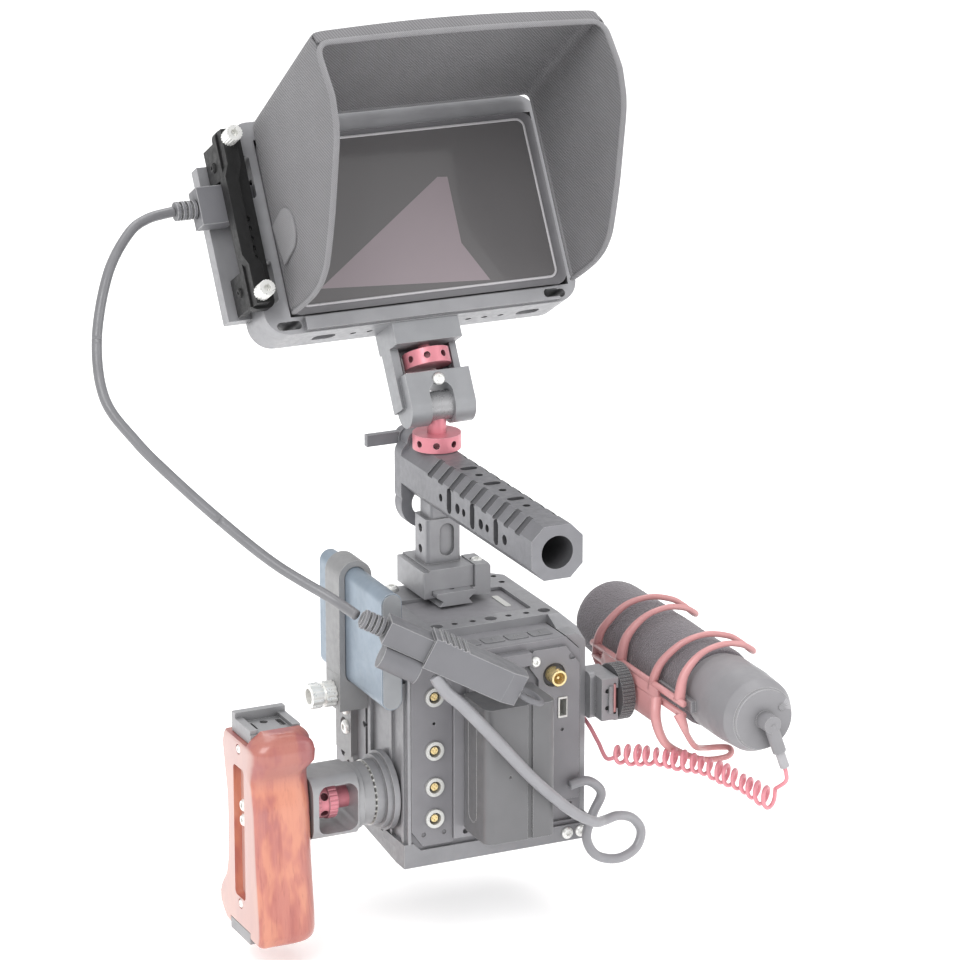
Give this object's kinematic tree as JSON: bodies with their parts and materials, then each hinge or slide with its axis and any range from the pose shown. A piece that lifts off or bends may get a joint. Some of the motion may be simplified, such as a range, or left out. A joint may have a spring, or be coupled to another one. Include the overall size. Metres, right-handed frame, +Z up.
{
  "type": "cinema camera rig",
  "caption": "Box camera in a metal cage with a top handle, a tilting hooded monitor, a wooden side grip, a drive, a battery and a shotgun microphone.",
  "frame": {"origin": "centre of the tripod thread at the base plate's underside", "axes": "+X operator's right, +Y towards the lens, +Z up"},
  "size_m": [0.2935, 0.2662, 0.4392],
  "materials": {
    "cage_metal": "hard anodised, satin",
    "camera_metal": "fine textured paint",
    "handle_metal": "hard anodised, satin",
    "arm_metal": "hard anodised, satin",
    "bright_steel": "polished",
    "lens_metal": "satin",
    "red_metal": "red anodised, satin",
    "gold_contacts": "plated",
    "clamp_black": "black anodised",
    "body_plastic": "fine texture",
    "battery_plastic": "smooth",
    "screen_glass": "glossy black glass",
    "circuit": "lacquered board",
    "sink_metal": "bare",
    "hood_fabric": "coated twill",
    "grip_wood": "oiled, satin",
    "fitting_metal": "satin",
    "drive_blue": "blue anodised",
    "foam": "open-cell foam",
    "mic_plastic": "satin",
    "wheel_plastic": "satin",
    "lyre_plastic": "flexible, satin",
    "coil_rubber": "soft",
    "cable_rubber": "soft"
  },
  "bodies": {
    "camera": {"base_plate": "cage_metal", "cage_top": "cage_metal", "cage_left": "cage_metal", "cage_right": "cage_metal", "camera_shell": "camera_metal", "rear_cover": "camera_metal", "lens_mount": "lens_metal", "touch_screen": "screen_glass", "port_module": "camera_metal", "connector_sockets": "gold_contacts", "battery_plate": "camera_metal", "circuit_boards": "circuit", "heat_sink": "sink_metal", "cage_screws": "bright_steel", "nato_rail": "cage_metal", "rosette": "cage_metal", "drive_clamp": "cage_metal", "mic_shoe": "cage_metal", "hdmi_cable": "cable_rubber", "signal_converter": "body_plastic", "power_cable": "cable_rubber", "mic_cable": "coil_rubber"},
    "lens_ring": {"lens_lock_ring": "body_plastic"},
    "battery": {"battery_pack": "battery_plastic"},
    "latch": {"battery_latch": "body_plastic"},
    "menu_1": {"menu_button_1": "body_plastic"},
    "menu_2": {"menu_button_2": "body_plastic"},
    "menu_3": {"menu_button_3": "body_plastic"},
    "menu_4": {"menu_button_4": "body_plastic"},
    "fan": {"cooling_fan": "body_plastic"},
    "handle": {"handle_clamp": "handle_metal", "top_handle": "handle_metal", "rod_clamp": "handle_metal"},
    "jaw": {"clamp_jaw": "handle_metal"},
    "jaw_bolt": {"jaw_screw": "bright_steel"},
    "lever": {"rod_lever": "handle_metal"},
    "stud": {"arm_stud": "red_metal"},
    "lock_ring": {"arm_lock_ring": "red_metal"},
    "monitor": {"arm_body": "arm_metal", "monitor_cage": "arm_metal", "monitor_body": "body_plastic", "monitor_screen": "screen_glass", "cable_clamp_base": "clamp_black", "hdmi_plug": "body_plastic"},
    "wheel": {"arm_wheel": "red_metal"},
    "hood": {"sunhood": "hood_fabric"},
    "clamp_bar": {"cable_clamp_bar": "clamp_black"},
    "thumb_upper": {"thumbscrew_upper": "bright_steel"},
    "thumb_lower": {"thumbscrew_lower": "bright_steel"},
    "elbow": {"grip_arm": "arm_metal", "grip_screws": "bright_steel"},
    "grip_wheel": {"lock_wheel": "red_metal"},
    "grip": {"wooden_grip": "grip_wood", "grip_fittings": "fitting_metal"},
    "knob": {"drive_knob": "bright_steel"},
    "drive": {"drive_case": "drive_blue"},
    "mic": {"mic_suspension": "lyre_plastic", "mic_windshield": "foam", "mic_body": "mic_plastic"},
    "shoe_wheel": {"mic_wheel": "wheel_plastic"}
  },
  "joints": [
    {"name": "handle_slide", "type": "slide", "parent": "camera", "child": "handle", "axis": [0, 1, 0], "range_m": [-0.006, 0.004], "deforming": ["hdmi_cable"]},
    {"name": "jaw_screw_turn", "type": "hinge", "parent": "jaw", "child": "jaw_bolt", "pos_m": [0.0204, 0.0325, 0.129], "axis": [0, 0, 1], "range_deg": [0, 360]},
    {"name": "clamp_jaw_slide", "type": "slide", "parent": "handle", "child": "jaw", "axis": [1, 0, 0], "range_m": [0, 0.0015]},
    {"name": "rod_lever_turn", "type": "hinge", "parent": "handle", "child": "lever", "pos_m": [-0.002, 0.062, 0.1885], "axis": [0, 1, 0], "range_deg": [0, 100]},
    {"name": "monitor_pan", "type": "hinge", "parent": "handle", "child": "stud", "pos_m": [0.004, 0.044, 0.2], "axis": [0, 0, 1], "range_deg": [-90, 90], "deforming": ["hdmi_cable"]},
    {"name": "arm_lock_ring_turn", "type": "hinge", "parent": "stud", "child": "lock_ring", "pos_m": [0.004, 0.044, 0.192], "axis": [0, 0, 1], "continuous": true},
    {"name": "monitor_tilt", "type": "hinge", "parent": "stud", "child": "monitor", "pos_m": [0.004, 0.044, 0.21], "axis": [1, 0, 0], "range_deg": [-45, 60], "deforming": ["hdmi_cable"]},
    {"name": "arm_wheel_turn", "type": "hinge", "parent": "monitor", "child": "wheel", "pos_m": [0.004, 0.056, 0.23078], "axis": [0, 0.5, 0.866], "continuous": true},
    {"name": "hood_pull", "type": "slide", "parent": "monitor", "child": "hood", "axis": [0, -0.866, 0.5], "range_m": [0, 0.03]},
    {"name": "cable_clamp_open", "type": "slide", "parent": "monitor", "child": "clamp_bar", "axis": [0, -0.866, 0.5], "range_m": [0, 0.004]},
    {"name": "thumbscrew_upper_turn", "type": "hinge", "parent": "clamp_bar", "child": "thumb_upper", "pos_m": [-0.0855, 0.08964, 0.34704], "axis": [0, -0.866, 0.5], "continuous": true},
    {"name": "thumbscrew_lower_turn", "type": "hinge", "parent": "clamp_bar", "child": "thumb_lower", "pos_m": [-0.0855, 0.04988, 0.27819], "axis": [0, -0.866, 0.5], "continuous": true},
    {"name": "grip_rotate", "type": "hinge", "parent": "camera", "child": "elbow", "pos_m": [-0.07, -0.012, 0.034], "axis": [1, 0, 0], "range_deg": [-60, 60]},
    {"name": "lock_wheel_turn", "type": "hinge", "parent": "elbow", "child": "grip_wheel", "pos_m": [-0.085, -0.012, 0.034], "axis": [1, 0, 0], "continuous": true},
    {"name": "grip_height", "type": "slide", "parent": "elbow", "child": "grip", "axis": [0, 0, 1], "range_m": [-0.014, 0.033]},
    {"name": "drive_knob_turn", "type": "hinge", "parent": "camera", "child": "knob", "pos_m": [-0.072, 0.0165, 0.0775], "axis": [1, 0, 0], "continuous": true},
    {"name": "drive_slide", "type": "slide", "parent": "camera", "child": "drive", "axis": [0, 1, 0], "range_m": [-0.015, 0.06]},
    {"name": "battery_slide", "type": "slide", "parent": "camera", "child": "battery", "axis": [0, 0, 1], "range_m": [0, 0.009]},
    {"name": "battery_latch_slide", "type": "slide", "parent": "camera", "child": "latch", "axis": [0, 0, -1], "range_m": [0, 0.0018], "stiffness_N_per_m": 200},
    {"name": "menu_button_1_press", "type": "slide", "parent": "camera", "child": "menu_1", "axis": [0, 0, -1], "range_m": [0, 0.0006], "stiffness_N_per_m": 500},
    {"name": "menu_button_2_press", "type": "slide", "parent": "camera", "child": "menu_2", "axis": [0, 0, -1], "range_m": [0, 0.0006], "stiffness_N_per_m": 500},
    {"name": "menu_button_3_press", "type": "slide", "parent": "camera", "child": "menu_3", "axis": [0, 0, -1], "range_m": [0, 0.0006], "stiffness_N_per_m": 500},
    {"name": "menu_button_4_press", "type": "slide", "parent": "camera", "child": "menu_4", "axis": [0, 0, -1], "range_m": [0, 0.0006], "stiffness_N_per_m": 500},
    {"name": "mic_slide", "type": "slide", "parent": "camera", "child": "mic", "axis": [0, -1, 0], "range_m": [0, 0.018], "deforming": ["mic_cable"]},
    {"name": "mic_wheel_turn", "type": "hinge", "parent": "mic", "child": "shoe_wheel", "pos_m": [0.066, -0.034, 0.075], "axis": [1, 0, 0], "continuous": true},
    {"name": "cooling_fan_spin", "type": "hinge", "parent": "camera", "child": "fan", "pos_m": [0, -0.02, 0.058], "axis": [0, 1, 0], "continuous": true},
    {"name": "lens_lock_turn", "type": "hinge", "parent": "camera", "child": "lens_ring", "pos_m": [0, 0.07, 0.058], "axis": [0, 1, 0], "range_deg": [0, 40]}
  ]
}
